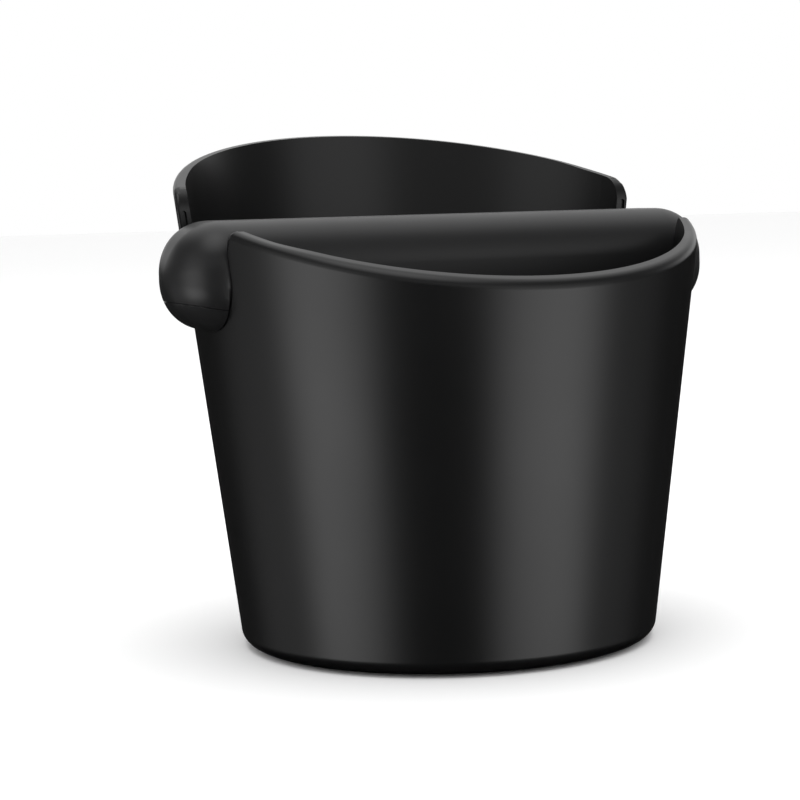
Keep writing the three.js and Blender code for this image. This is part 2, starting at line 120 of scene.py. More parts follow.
def round_corner(bm, vert, radius, segments):
    """Rounds the corner of a path at one vertex to a true radius."""
    first, second = [edge.other_vert(vert).co - vert.co for edge in vert.link_edges]
    half_angle = first.angle(second) / 2
    bmesh.ops.bevel(
        bm, geom=[vert], offset=radius / math.tan(half_angle), offset_type="OFFSET",
        segments=segments, profile=0.5, affect="VERTICES", material=-1,
    )


def turn(bm, steps):
    """Turns the profile in a bmesh a full round about Z."""
    bmesh.ops.spin(
        bm, geom=bm.verts[:] + bm.edges[:], cent=(0, 0, 0), axis=(0, 0, 1),
        angle=math.tau, steps=steps, use_merge=True,
    )


def push(bm, vec):
    """Fills the outline in a bmesh and pushes it out into a solid."""
    face = bmesh.ops.contextual_create(bm, geom=bm.edges[:])["faces"]
    pushed = bmesh.ops.extrude_face_region(bm, geom=face)
    moved = [item for item in pushed["geom"] if isinstance(item, bmesh.types.BMVert)]
    bmesh.ops.translate(bm, verts=moved, vec=vec)


def half_turn(bm, side):
    """Turns what was made for the right side round to the left, where that is asked."""
    if side < 0:
        bmesh.ops.rotate(bm, verts=bm.verts[:], matrix=Matrix.Rotation(math.pi, 3, "Z"))


def merge_doubles(bm):
    """Closes the seams and poles that an operator left."""
    bmesh.ops.remove_doubles(bm, verts=bm.verts[:], dist=HAIR)


def piece_from(bm, name):
    """Makes a smooth-shaded mesh object in the scene from a bmesh, and frees the bmesh."""
    mesh = bpy.data.meshes.new(name)
    bm.to_mesh(mesh)
    bm.free()
    mesh.shade_smooth()
    obj = bpy.data.objects.new(name, mesh)
    bpy.context.scene.collection.objects.link(obj)
    return obj


def prism_along_x(outline, corner_radii, half_length, name):
    """A solid bar along X from an outline in Y and Z, its corners rounded where asked."""
    bm = bmesh.new()
    verts = add_path(bm, [(-half_length, y, z) for y, z in outline], closed=True)
    for index, radius in corner_radii.items():
        round_corner(bm, verts[index], radius, PRISM_CORNER_STEPS)
    push(bm, (half_length * 2, 0, 0))
    bmesh.ops.recalc_face_normals(bm, faces=bm.faces[:])
    return piece_from(bm, name)


def apply_modifiers(obj):
    """Makes the result of an object's modifiers its mesh."""
    graph = bpy.context.evaluated_depsgraph_get()
    made = bpy.data.meshes.new_from_object(obj.evaluated_get(graph), depsgraph=graph)
    old = obj.data
    obj.modifiers.clear()
    obj.data = made
    made.name = old.name
    bpy.data.meshes.remove(old)


def cut(obj, tool, operation="DIFFERENCE"):
    """Cuts one solid with another, for good, and clears the tool away."""
    modifier = obj.modifiers.new("cut", "BOOLEAN")
    modifier.object = tool
    modifier.operation = operation
    modifier.solver = "EXACT"
    apply_modifiers(obj)
    bpy.data.objects.remove(tool)


def soften(obj, width, segments, chosen, least_angle=35):
    """Rounds the sharp edges that a test picks."""
    bm = bmesh.new()
    bm.from_mesh(obj.data)
    bmesh.ops.remove_doubles(bm, verts=bm.verts[:], dist=WELD)
    sharp = [
        edge for edge in bm.edges
        if len(edge.link_faces) == 2
        and edge.calc_face_angle(0) > math.radians(least_angle)
        and chosen((edge.verts[0].co + edge.verts[1].co) / 2)
    ]
    bmesh.ops.bevel(
        bm, geom=sharp, offset=width, offset_type="OFFSET", segments=segments,
        profile=0.5, affect="EDGES", material=-1, clamp_overlap=True,
    )
    bm.to_mesh(obj.data)
    bm.free()


def finish_shading(obj, crease_angle=40):
    """Smooth shading that keeps large faces true and small rounded edges crisp."""
    obj.data.shade_smooth()
    bm = bmesh.new()
    bm.from_mesh(obj.data)
    for edge in bm.edges:
        edge.smooth = edge.calc_face_angle(0) < math.radians(crease_angle)
    bm.to_mesh(obj.data)
    bm.free()
    weighted = obj.modifiers.new("true_faces", "WEIGHTED_NORMAL")
    weighted.keep_sharp = True
    weighted.weight = FACE_WEIGHT


def turned_cup():
    """
    The cup, turned from one profile, before the slots are cut. The top of its wall is then
    slid down the wall's own lean to meet the slant of the rim.
    """
    bm = bmesh.new()
    foot_z = TUB_LIFT
    verts = add_path(bm, [
        (0, 0, RECESS_TOP),
        (RECESS_RADIUS, 0, RECESS_TOP),
        (RECESS_RADIUS, 0, foot_z),
        (outer_radius(foot_z), 0, foot_z),
        (outer_radius(WAIST), 0, WAIST),
        (outer_radius(CUP_TOP), 0, CUP_TOP),
        (outer_radius(CUP_TOP) - WALL, 0, CUP_TOP),
        (outer_radius(WAIST) - WALL, 0, WAIST),
        (outer_radius(FLOOR_TOP) - WALL, 0, FLOOR_TOP),
        (0, 0, FLOOR_TOP),
    ])
    round_corner(bm, verts[3], FOOT_RADIUS, CORNER_STEPS)
    round_corner(bm, verts[8], INSIDE_RADIUS, CORNER_STEPS)
    round_corner(bm, verts[2], RECESS_EDGE, 2)
    turn(bm, TURN_STEPS)
    merge_doubles(bm)
    for vert in bm.verts:
        if vert.co.z > CUP_TOP - HAIR:
            bearing = vert.co.xy.normalized()
            at_counter = vert.co.xy.length - DRAFT * CUP_TOP
            lean = RIM_SLOPE * bearing.y
            height = (RIM_AT_AXIS + lean * at_counter) / (1 - lean * DRAFT)
            vert.co = (*(bearing * (at_counter + DRAFT * height)), height)
    bmesh.ops.recalc_face_normals(bm, faces=bm.faces[:])
    return piece_from(bm, "tub_shell")


def slot_cutter():
    """
    The two slots, seen from the side: a rounded floor, upright sides, and corners that
    run tangent into the slant of the rim.
    """
    width = SLOT_HALF_WIDTH
    slant = math.atan(RIM_SLOPE)
    front = width + SLOT_FRONT_CORNER * math.tan(math.pi / 4 - slant / 2) * math.cos(slant)
    back = width + SLOT_BACK_CORNER * math.tan(math.pi / 4 + slant / 2) * math.cos(slant)
    outline = [
        (-front - HAIR, CUTTER_TOP),
        (-front - HAIR, rim_height(-front - HAIR)),
        (-width, rim_height(-width)),
        (-width, SLOT_FLOOR),
        (width, SLOT_FLOOR),
        (width, rim_height(width)),
        (back + HAIR, rim_height(back + HAIR)),
        (back + HAIR, CUTTER_TOP),
    ]
    corners = {
        2: SLOT_FRONT_CORNER,
        3: SLOT_CORNER,
        4: SLOT_CORNER,
        5: SLOT_BACK_CORNER,
    }
    return prism_along_x(outline, corners, CUTTER_REACH, "slot_cutter")


def raise_inner_lip(obj):
    """Lifts the inner edge of the rim, away from the slots, so that the lip drains outwards."""
    for vert in obj.data.vertices:
        x, y, z = vert.co
        on_rim = abs(z - rim_height(y)) < CROWN_ON_RIM
        inside = math.hypot(x, y) < outer_radius(z) - WALL / 2
        if on_rim and inside:
            past_slot = (abs(y) - CROWN_START) / CROWN_FADE
            vert.co.z += LIP_CROWN * min(1, max(0, past_slot))


def channel_cutter(side):
    """The relief in both edges of one slot, half way through the wall and leaning with it."""
    low = SLOT_FLOOR + SLOT_CORNER
    high = rim_height(SLOT_HALF_WIDTH) - SLOT_BACK_CORNER + CHANNEL_TOP_RISE
    half = CHANNEL_WIDTH / 2

    def middle(z):
        radius = outer_radius(z) - WALL / 2
        return math.sqrt(radius ** 2 - SLOT_HALF_WIDTH ** 2)

    bm = bmesh.new()
    depth = SLOT_HALF_WIDTH + CHANNEL_DEPTH
    verts = add_path(bm, [
        (middle(low) - half, -depth, low),
        (middle(low) + half, -depth, low),
        (middle(high) + half, -depth, high),
        (middle(high) - half, -depth, high),
    ], closed=True)
    for vert in verts[2:]:
        round_corner(bm, vert, half * HALF_ROUND, 5)
    push(bm, (0, depth * 2, 0))
    half_turn(bm, side)
    bmesh.ops.recalc_face_normals(bm, faces=bm.faces[:])
    return piece_from(bm, "channel_cutter")


GRAIN_DEPTH = 0.00002


def grain_group():
    """Fine even grain of a blasted mould, with a slow drift in how it shines."""
    group = bpy.data.node_groups.new("moulded_grain", "ShaderNodeTree")
    face = group.interface
    for name, value in (
        ("Grain Scale", 3000),
        ("Drift Scale", 22),
        ("Roughness Low", 0.3),
        ("Roughness High", 0.36),
    ):
        socket = face.new_socket(name, in_out="INPUT", socket_type="NodeSocketFloat")
        socket.default_value = value
    for name in ("Roughness", "Height", "Drift"):
        face.new_socket(name, in_out="OUTPUT", socket_type="NodeSocketFloat")
    nodes, links = group.nodes, group.links
    given = nodes.new("NodeGroupInput")
    out = nodes.new("NodeGroupOutput")
    place = nodes.new("ShaderNodeTexCoord")
    grain = nodes.new("ShaderNodeTexNoise")
    grain.inputs["Detail"].default_value = 2
    drift = nodes.new("ShaderNodeTexNoise")
    drift.inputs["Detail"].default_value = 4
    drift.inputs["Roughness"].default_value = 0.55
    spread = nodes.new("ShaderNodeMapRange")
    spread.inputs["From Min"].default_value = 0.3
    spread.inputs["From Max"].default_value = 0.7
    links.new(place.outputs["Object"], grain.inputs["Vector"])
    links.new(place.outputs["Object"], drift.inputs["Vector"])
    links.new(given.outputs["Grain Scale"], grain.inputs["Scale"])
    links.new(given.outputs["Drift Scale"], drift.inputs["Scale"])
    links.new(drift.outputs["Fac"], spread.inputs["Value"])
    links.new(given.outputs["Roughness Low"], spread.inputs["To Min"])
    links.new(given.outputs["Roughness High"], spread.inputs["To Max"])
    links.new(spread.outputs["Result"], out.inputs["Roughness"])
    links.new(grain.outputs["Fac"], out.inputs["Height"])
    links.new(drift.outputs["Fac"], out.inputs["Drift"])
    return group


moulded_grain = grain_group()


def black_finish(name, dark, light, grain_scale, rough_low, rough_high, bump):
    """A black moulding: two near shades that drift, and a fine grain in its gloss."""
    material = bpy.data.materials.new(name)
    material.use_nodes = True
    nodes, links = material.node_tree.nodes, material.node_tree.links
    shader = nodes["Principled BSDF"]
    grain = nodes.new("ShaderNodeGroup")
    grain.node_tree = moulded_grain
    grain.inputs["Grain Scale"].default_value = grain_scale
    grain.inputs["Roughness Low"].default_value = rough_low
    grain.inputs["Roughness High"].default_value = rough_high
    shade = nodes.new("ShaderNodeMix")
    shade.data_type = "RGBA"
    shade.inputs["A"].default_value = (*dark, 1)
    shade.inputs["B"].default_value = (*light, 1)
    relief = nodes.new("ShaderNodeBump")
    relief.inputs["Strength"].default_value = bump
    relief.inputs["Distance"].default_value = GRAIN_DEPTH
    links.new(grain.outputs["Drift"], shade.inputs["Factor"])
    links.new(shade.outputs["Result"], shader.inputs["Base Color"])
    links.new(grain.outputs["Roughness"], shader.inputs["Roughness"])
    links.new(grain.outputs["Height"], relief.inputs["Height"])
    links.new(relief.outputs["Normal"], shader.inputs["Normal"])
    return material


def round_lip(obj):
    """
    Rounds the outer edge of the lip, broadly along the rim and more tightly where it turns
    down into the slots. The rim's small faces beside the slots are first merged, because
    a face narrower than the rounding would tear.
    """
    bm = bmesh.new()
    bm.from_mesh(obj.data)
    bmesh.ops.remove_doubles(bm, verts=bm.verts[:], dist=WELD)

    def beside_slot(vert):
        on_rim = abs(vert.co.z - rim_height(vert.co.y)) < ON_RIM
        return on_rim and abs(vert.co.y) < CROWN_START

    bmesh.ops.dissolve_edges(bm, edges=[
        edge for edge in bm.edges
        if edge.calc_face_angle(0) < RIM_FLAT and all(map(beside_slot, edge.verts))
    ])
    share = bm.edges.layers.float.new("bevel_weight_edge")
    for edge in bm.edges:
        x, y, z = (edge.verts[0].co + edge.verts[1].co) / 2
        on_face = abs(math.hypot(x, y) - outer_radius(z)) < ON_FACE
        if z > LIP_LOWEST and on_face and edge.calc_face_angle(0) > LIP_SHARP:
            drop = (rim_height(y) - z) / LIP_FADE
            edge[share] = 1 - (1 - SLOT_EDGE_SHARE) * min(1, max(0, drop))
    bm.to_mesh(obj.data)
    bm.free()
    rounding = obj.modifiers.new("lip", "BEVEL")
    rounding.width = LIP_OUTER_EDGE
    rounding.segments = LIP_STEPS
    rounding.limit_method = "WEIGHT"
    rounding.use_clamp_overlap = False
    apply_modifiers(obj)
    obj.data.attributes.remove(obj.data.attributes["bevel_weight_edge"])


def on_inner_lip(point):
    """Edges of the rim and slots on the tub's inner face."""
    inset = outer_radius(point.z) - math.hypot(point.x, point.y)
    return point.z > LIP_LOWEST and abs(inset - WALL) < ON_FACE


def on_channel(point):
    """Edges of the reliefs in the slots."""
    into_side = abs(point.y) - SLOT_HALF_WIDTH
    near_side = -TOUCH <= into_side <= CHANNEL_DEPTH + TOUCH
    radius = math.hypot(point.x, point.y)
    in_wall = abs(outer_radius(point.z) - WALL / 2 - radius) < CHANNEL_WIDTH * 0.75
    return near_side and in_wall and point.z > SLOT_FLOOR


tub_shell = turned_cup()
cut(tub_shell, slot_cutter())
raise_inner_lip(tub_shell)
for side in (1, -1):
    cut(tub_shell, channel_cutter(side))
round_lip(tub_shell)
soften(tub_shell, LIP_INNER_EDGE, segments=4, chosen=on_inner_lip)
soften(tub_shell, CHANNEL_EDGE, segments=2, chosen=on_channel)
finish_shading(tub_shell)
tub_shell.data.materials.clear()
tub_shell.data.materials.append(black_finish(
    "satin_black_abs", dark=(0.0030, 0.0030, 0.0032), light=(0.0042, 0.0042, 0.0044),
    grain_scale=3200, rough_low=0.30, rough_high=0.335, bump=0.12,
))
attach(tub_shell, "tub")
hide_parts("tub")


# ------------------------------------------------------------------ base pad
# A disc of soft thermoplastic rubber is pressed into the recess under the floor and keeps
# the box from walking when the bar is struck. Ring-shaped grooves in it grip the counter.

PAD_RADIUS = 0.041
PAD_THICKNESS = 0.0024
PAD_EDGE = 0.0005
PAD_GROOVES = (0.014, 0.022, 0.030)
PAD_GROOVE_WIDTH = 0.0024
PAD_GROOVE_DEPTH = 0.0008
PAD_GROOVE_SLOPE = 0.0003
PAD_STEPS = 128


def grip_pad_mesh():
    """The pad, turned from its grooved profile."""
    bm = bmesh.new()
    profile = [(0, 0, 0)]
    for groove in PAD_GROOVES:
        inner = groove - PAD_GROOVE_WIDTH / 2
        outer = groove + PAD_GROOVE_WIDTH / 2
        profile += [
            (inner, 0, 0),
            (inner + PAD_GROOVE_SLOPE, 0, PAD_GROOVE_DEPTH),
            (outer - PAD_GROOVE_SLOPE, 0, PAD_GROOVE_DEPTH),
            (outer, 0, 0),
        ]
    rounded_from = len(profile)
    profile += [
        (PAD_RADIUS, 0, 0),
        (PAD_RADIUS, 0, PAD_THICKNESS),
        (0, 0, PAD_THICKNESS),
    ]
    verts = add_path(bm, profile)
    round_corner(bm, verts[rounded_from], PAD_EDGE, 4)
    turn(bm, PAD_STEPS)
    merge_doubles(bm)
    bmesh.ops.recalc_face_normals(bm, faces=bm.faces[:])
    return piece_from(bm, "grip_pad")


grip_pad = grip_pad_mesh()
finish_shading(grip_pad, crease_angle=25)
grip_pad.data.materials.append(black_finish(
    "matte_grip_rubber", dark=(0.010, 0.010, 0.010), light=(0.018, 0.018, 0.018),
    grain_scale=1500, rough_low=0.72, rough_high=0.85, bump=0.5,
))
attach(grip_pad, "tub")
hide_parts("base_pad")


# ------------------------------------------------------------------ knock bar
# The bar's outer form is one soft-cornered section that runs straight through both slots
# and closes in a rounded knob at each end. Its underside is notched to sit astride the wall.

BAR_HALF_WIDTH = 0.01485
BAR_TOP = 0.1029
BAR_BOTTOM = 0.0773
BAR_TOP_CORNER = 0.011
BAR_BOTTOM_CORNER = 0.0105
BAR_AXIS_Z = (BAR_TOP + BAR_BOTTOM) / 2
BAR_CORNER_STEPS = 16
KNOB_INSET = 0.001                   # the section stays straight this far into the wall
KNOB_START = outer_radius(BAR_BOTTOM) - WALL + KNOB_INSET
KNOB_REACH = 0.0127
KNOB_FULLNESS = 2.05
KNOB_RINGS = 22
BAR_HALF_LENGTH = KNOB_START + KNOB_REACH
RUNNING_GAP = 0.00035
SADDLE_EDGE = 0.0007
SADDLE_TOP = 0.0885                  # edges above this lie inside the bar
SADDLE_BELOW = 0.004                 # how far the cutter runs past the bar's underside
SADDLE_ABOVE = 0.001                 # and above the slot's round corners
NECK_ABOVE = 0.005
NECK_OVERLAP = 0.00002
NEAR_SADDLE = 3e-4


def bar_form(name):
    """The whole bar as one solid, without its notches."""
    bm = bmesh.new()
    half = BAR_HALF_WIDTH
    outline = [
        (0, -half, BAR_BOTTOM),
        (0, half, BAR_BOTTOM),
        (0, half, BAR_TOP),
        (0, -half, BAR_TOP),
    ]
    corners = add_path(bm, outline, closed=True)
    for vert, radius in zip(corners, [BAR_BOTTOM_CORNER] * 2 + [BAR_TOP_CORNER] * 2):
        round_corner(bm, vert, radius, BAR_CORNER_STEPS)
    ring = bm.edges[:]

    def extend(edges, to_x, scale, from_x, from_scale):
        made = bmesh.ops.extrude_edge_only(bm, edges=edges)["geom"]
        verts = [item for item in made if isinstance(item, bmesh.types.BMVert)]
        grow = scale / from_scale
        centre = Matrix.Translation((0, 0, BAR_AXIS_Z))
        bmesh.ops.scale(bm, verts=verts, vec=(1, grow, grow), space=centre.inverted())
        bmesh.ops.translate(bm, verts=verts, vec=(to_x - from_x, 0, 0))
        return [item for item in made if isinstance(item, bmesh.types.BMEdge)]

    x, scale = 0, 1
    ring = extend(ring, KNOB_START, 1, x, scale)
    x = KNOB_START
    for step in range(1, KNOB_RINGS):
        share = math.sin(step / KNOB_RINGS * math.pi / 2)
        new_x = KNOB_START + KNOB_REACH * share
        new_scale = (1 - share ** KNOB_FULLNESS) ** (1 / KNOB_FULLNESS)
        ring = extend(ring, new_x, new_scale, x, scale)
        x, scale = new_x, new_scale
    cap = bmesh.ops.contextual_create(bm, geom=ring)["faces"]
    bmesh.ops.poke(bm, faces=cap)
    whole = bm.verts[:] + bm.edges[:] + bm.faces[:]
    bmesh.ops.mirror(bm, geom=whole, axis="X", merge_dist=HAIR)
    merge_doubles(bm)
    bmesh.ops.recalc_face_normals(bm, faces=bm.faces[:])
    return piece_from(bm, name)


def saddle_cutter():
    """What the notches take from the bar: the tub's wall, grown by the running gap."""
    low = BAR_BOTTOM - SADDLE_BELOW
    high = SLOT_FLOOR + SLOT_CORNER + SADDLE_ABOVE
    bm = bmesh.new()
    add_path(bm, [
        (outer_radius(low) - WALL - RUNNING_GAP, 0, low),
        (outer_radius(low) + RUNNING_GAP, 0, low),
        (outer_radius(high) + RUNNING_GAP, 0, high),
        (outer_radius(high) - WALL - RUNNING_GAP, 0, high),
    ], closed=True)
    turn(bm, TURN_STEPS)
    bmesh.ops.recalc_face_normals(bm, faces=bm.faces[:])
    band = piece_from(bm, "wall_band")
    half = SLOT_HALF_WIDTH - RUNNING_GAP + NECK_OVERLAP
    floor = SLOT_FLOOR + RUNNING_GAP
    top = high + NECK_ABOVE
    outline = [(-half, floor), (half, floor), (half, top), (-half, top)]
    corner = SLOT_CORNER - RUNNING_GAP
    neck = prism_along_x(outline, {0: corner, 1: corner}, BAR_HALF_LENGTH, "neck")
    cut(band, neck)
    return band


bar_whole = bar_form("bar_whole")
cut(bar_whole, saddle_cutter())


def near_wall(point):
    """Edges of the notches, on the outside of the bar."""
    radius = math.hypot(point.x, point.y)
    offset = radius - outer_radius(point.z)
    outside = abs(offset - RUNNING_GAP) < NEAR_SADDLE
    inside = abs(offset + WALL + RUNNING_GAP) < NEAR_SADDLE
    on_corner = abs(point.y) > BAR_HALF_WIDTH - BAR_BOTTOM_CORNER
    underneath = point.z < BAR_BOTTOM + 1e-4
    return (outside or inside) and (on_corner or underneath) and point.z < SADDLE_TOP


soften(bar_whole, SADDLE_EDGE, segments=3, chosen=near_wall, least_angle=50)


# ------------------------------------------------------------------ end carriers
# A rigid black nylon moulding closes each end of the bar. It is the underside of the knob
# and the saddle that takes the load on the tub's wall, and its spigot fills the core tube.

CORE_END_INSET = 0.0077              # the tube ends this far short of the knob
CORE_HALF_LENGTH = KNOB_START - CORE_END_INSET
SEAT_GAP = 0.0003
SEAM_GAP = 0.00012
SEAM_EDGE = 0.00022
CARRIER_RADIUS = 0.008
CARRIER_LENGTH = 0.014
CARRIER_POST_HALF_WIDTH = 0.006
SPIGOT_RADIUS = 0.0042
SPIGOT_LENGTH = 0.012
UNDERSIDE_HEIGHT = 0.0053
UNDERSIDE_RISE = 0.2
WEDGE_MARGIN = 0.002                 # how far the wedge runs past the bar
WEDGE_WIDTH_SHARE = 1.2
JOIN_OVERLAP = 0.001                 # how far one form runs into the next it is joined to
PAST_CORE = 1e-4


def underside_wedge(side, gap):
    """The low wedge at one end of the bar that belongs to the carrier."""
    start = CORE_HALF_LENGTH - gap
    flat_end = outer_radius(BAR_BOTTOM)
    seam = BAR_BOTTOM + UNDERSIDE_HEIGHT + gap
    end = BAR_HALF_LENGTH + WEDGE_MARGIN
    half_width = BAR_HALF_WIDTH * WEDGE_WIDTH_SHARE
    bm = bmesh.new()
    add_path(bm, [
        (start, -half_width, BAR_BOTTOM - WEDGE_MARGIN),
        (end, -half_width, BAR_BOTTOM - WEDGE_MARGIN),
        (end, -half_width, seam + (end - flat_end) * UNDERSIDE_RISE),
        (flat_end, -half_width, seam),
        (start, -half_width, seam),
    ], closed=True)
    push(bm, (0, half_width * 2, 0))
    half_turn(bm, side)
    bmesh.ops.recalc_face_normals(bm, faces=bm.faces[:])
    return piece_from(bm, "underside_wedge")


def round_along_x(radius, from_x, to_x, name):
    """A round rod on the bar's axis."""
    bm = bmesh.new()
    bmesh.ops.create_cone(
        bm, cap_ends=True, cap_tris=False, segments=64,
        radius1=radius, radius2=radius, depth=abs(to_x - from_x),
    )
    bmesh.ops.rotate(bm, verts=bm.verts[:], matrix=Matrix.Rotation(math.pi / 2, 3, "Y"))
    bmesh.ops.translate(bm, verts=bm.verts[:], vec=((from_x + to_x) / 2, 0, BAR_AXIS_Z))
    bmesh.ops.recalc_face_normals(bm, faces=bm.faces[:])
    return piece_from(bm, name)


def carrier_core(side, gap):
    """The round body inside the knob, on the post that ties it to the underside."""
    start = CORE_HALF_LENGTH + SEAT_GAP - gap
    end = start + CARRIER_LENGTH + gap * 2
    core = round_along_x(CARRIER_RADIUS + gap, side * start, side * end, "carrier_core")
    foot = SLOT_FLOOR + RUNNING_GAP + JOIN_OVERLAP
    half = CARRIER_POST_HALF_WIDTH + gap
    bm = bmesh.new()
    bmesh.ops.create_cube(bm, size=1)
    bmesh.ops.scale(bm, verts=bm.verts[:], vec=(end - start, half * 2, BAR_AXIS_Z - foot))
    centre = (side * (start + end) / 2, 0, (BAR_AXIS_Z + foot) / 2)
    bmesh.ops.translate(bm, verts=bm.verts[:], vec=centre)
    cut(core, piece_from(bm, "carrier_post"), "UNION")
    return core


nylon = black_finish(
    "satin_black_nylon", dark=(0.0080, 0.0080, 0.0083), light=(0.0115, 0.0115, 0.0118),
    grain_scale=2600, rough_low=0.36, rough_high=0.42, bump=0.2,
)


def on_carrier_seam(point):
    """Edges of a carrier along its seam, clear of its inner end."""
    return abs(point.x) > CORE_HALF_LENGTH + PAST_CORE


def end_carrier(side, name):
    """One end carrier, cut from the bar's form and joined to its core and spigot."""
    carrier = bar_whole.copy()
    carrier.data = bar_whole.data.copy()
    carrier.name = name
    bpy.context.scene.collection.objects.link(carrier)
    cut(carrier, underside_wedge(side, 0), "INTERSECT")
    soften(carrier, SEAM_EDGE, segments=2, chosen=on_carrier_seam, least_angle=60)
    cut(carrier, carrier_core(side, 0), "UNION")
    spigot_end = CORE_HALF_LENGTH + SEAT_GAP + JOIN_OVERLAP
    spigot = round_along_x(
        SPIGOT_RADIUS, side * (spigot_end - SPIGOT_LENGTH), side * spigot_end, "spigot",
    )
    cut(carrier, spigot, "UNION")
    finish_shading(carrier)
    carrier.data.materials.clear()
    carrier.data.materials.append(nylon)
    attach(carrier, "knock_bar")
    return carrier


for side, word in ((1, "right"), (-1, "left")):
    underside = end_carrier(side, f"{word}_knob_underside")
    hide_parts(f"{word}_end_carrier")


# ------------------------------------------------------------------ cushion
# Rubber is moulded over the core tube and both carriers, thick on top where the portafilter
# is struck. It is a dense, slightly soft black with a low sheen, and its seam with the
# carriers shows as a fine line low on each knob.

CORE_RADIUS = 0.006
SEAM_TOP = 0.0862                    # the seam's edges all lie under this height


def on_seam(point):
    """Edges of the rubber along its seam with the carriers."""
    return abs(point.x) > CORE_HALF_LENGTH - PAST_CORE and point.z < SEAM_TOP


def bar_cushion():
    """The rubber, hollow where the core and the carriers are."""
    cushion = bar_whole
    cushion.name = "bar_rubber"
    for side in (1, -1):
        cut(cushion, underside_wedge(side, SEAM_GAP))
    soften(cushion, SEAM_EDGE, segments=2, chosen=on_seam, least_angle=60)
    for side in (1, -1):
        cut(cushion, carrier_core(side, SEAT_GAP))
    half = CORE_HALF_LENGTH + SEAT_GAP
    cut(cushion, round_along_x(CORE_RADIUS + SEAT_GAP, -half, half, "core_bore"))
    finish_shading(cushion)
    return cushion


bar_rubber = bar_cushion()
bar_rubber.data.materials.clear()
bar_rubber.data.materials.append(black_finish(
    "soft_black_rubber", dark=(0.0075, 0.0075, 0.0078), light=(0.0110, 0.0110, 0.0114),
    grain_scale=2400, rough_low=0.34, rough_high=0.42, bump=0.25,
))
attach(bar_rubber, "knock_bar")
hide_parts("bar_cushion")


# ------------------------------------------------------------------ core tube
# A length of drawn steel tube takes the blows. It keeps the faint lengthwise lines of the
# die it was drawn through, and can be seen only when the bar is taken apart.


def drawn_steel():
    """Steel with fine lines along the tube."""
    material = bpy.data.materials.new("drawn_steel")
    material.use_nodes = True
    nodes, links = material.node_tree.nodes, material.node_tree.links
    shader = nodes["Principled BSDF"]
    shader.inputs["Metallic"].default_value = 1
    place = nodes.new("ShaderNodeTexCoord")
    stretch = nodes.new("ShaderNodeMapping")
    stretch.inputs["Scale"].default_value = (20, 2500, 2500)
    lines = nodes.new("ShaderNodeTexNoise")
    lines.inputs["Scale"].default_value = 1
    tone = nodes.new("ShaderNodeValToRGB")
    tone.color_ramp.elements[0].color = (0.42, 0.43, 0.44, 1)
    tone.color_ramp.elements[1].color = (0.62, 0.63, 0.64, 1)
    shine = nodes.new("ShaderNodeMapRange")
    shine.inputs["To Min"].default_value = 0.24
    shine.inputs["To Max"].default_value = 0.42
    links.new(place.outputs["Object"], stretch.inputs["Vector"])
    links.new(stretch.outputs["Vector"], lines.inputs["Vector"])
    links.new(lines.outputs["Fac"], tone.inputs["Fac"])
    links.new(lines.outputs["Fac"], shine.inputs["Value"])
    links.new(tone.outputs["Color"], shader.inputs["Base Color"])
    links.new(shine.outputs["Result"], shader.inputs["Roughness"])
    return material


core_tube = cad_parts["core_tube"]
core_tube.data.materials.clear()
core_tube.data.materials.append(drawn_steel())


# ------------------------------------------------------------------ studio
# A plain white table and background, a soft light overhead, and tall soft boxes that the
# satin wall reflects as upright bands.

# Each upright band: its bearing in degrees from the bar, how narrow it is, its strength.
BANDS = ((-169, 0.87, 2.35), (160, 0.70, 0.35), (-64, 0.83, 2.50), (-30, 0.75, 0.25))
BAND_FLOOR = 0.02

# Ramps are (from, to, low, high). Heights are the Z of a direction of unit length.
BAND_LOW_FADE = (-0.30, 0.02, 0.65, 0.0)
BAND_HIGH_FADE = (-0.10, 0.90, 0.35, 0.0)
COUNTER_EDGE = (-0.50, -0.40, 0.0, 1.0)
CEILING = (0.0, 0.4, 0.0, 0.10)
OVERHEAD_DIRECTION = Vector((0.21, 0.45, 0.866)).normalized()
OVERHEAD_SPREAD = (0.60, 0.98, 0.0, 1.0)
SPOT_DIRECTION = Vector((-0.25, -0.28, 0.92)).normalized()
SPOT_SPREAD = (0.86, 0.99, 0.0, 1.5)

# Two level strips: bearing, spread round it, and the ramps of their lower and upper edges.
BACK_STRIP = (65, (0.3, 0.8, 0.0, 0.9), (0.02, 0.10, 0.0, 1.0), (0.25, 0.40, 1.0, 0.0))
FRONT_GLOW = (-112, (0.55, 0.95, 0.0, 0.28), (-0.02, 0.16, 0.0, 1.0), (0.30, 0.60, 1.0, 0.0))

TABLE_SIZE = 6
LAMP_PLACE = (0, -0.2, 1.6)
LAMP_SIZE = 1.6
LAMP_POWER = 14
LAMP_AIM = Vector((0, 0, 0.06))


def white_floor():
    """The table the box stands on."""
    bm = bmesh.new()
    bmesh.ops.create_grid(bm, x_segments=1, y_segments=1, size=TABLE_SIZE)
    floor = piece_from(bm, "floor")
    material = bpy.data.materials.new("white_table")
    material.use_nodes = True
    shader = material.node_tree.nodes["Principled BSDF"]
    shader.inputs["Base Color"].default_value = (0.99, 0.99, 0.99, 1)
    shader.inputs["Roughness"].default_value = 0.9
    floor.data.materials.append(material)
    floor.visible_glossy = False


def soft_light():
    """A square soft box overhead that faces the object."""
    data = bpy.data.lights.new("overhead_soft_box", "AREA")
    data.energy = LAMP_POWER
    data.size = LAMP_SIZE
    light = bpy.data.objects.new("overhead_soft_box", data)
    light.location = LAMP_PLACE
    towards = LAMP_AIM - light.location
    light.rotation_euler = towards.to_track_quat("-Z", "Y").to_euler()
    light.visible_glossy = False
    bpy.context.scene.collection.objects.link(light)


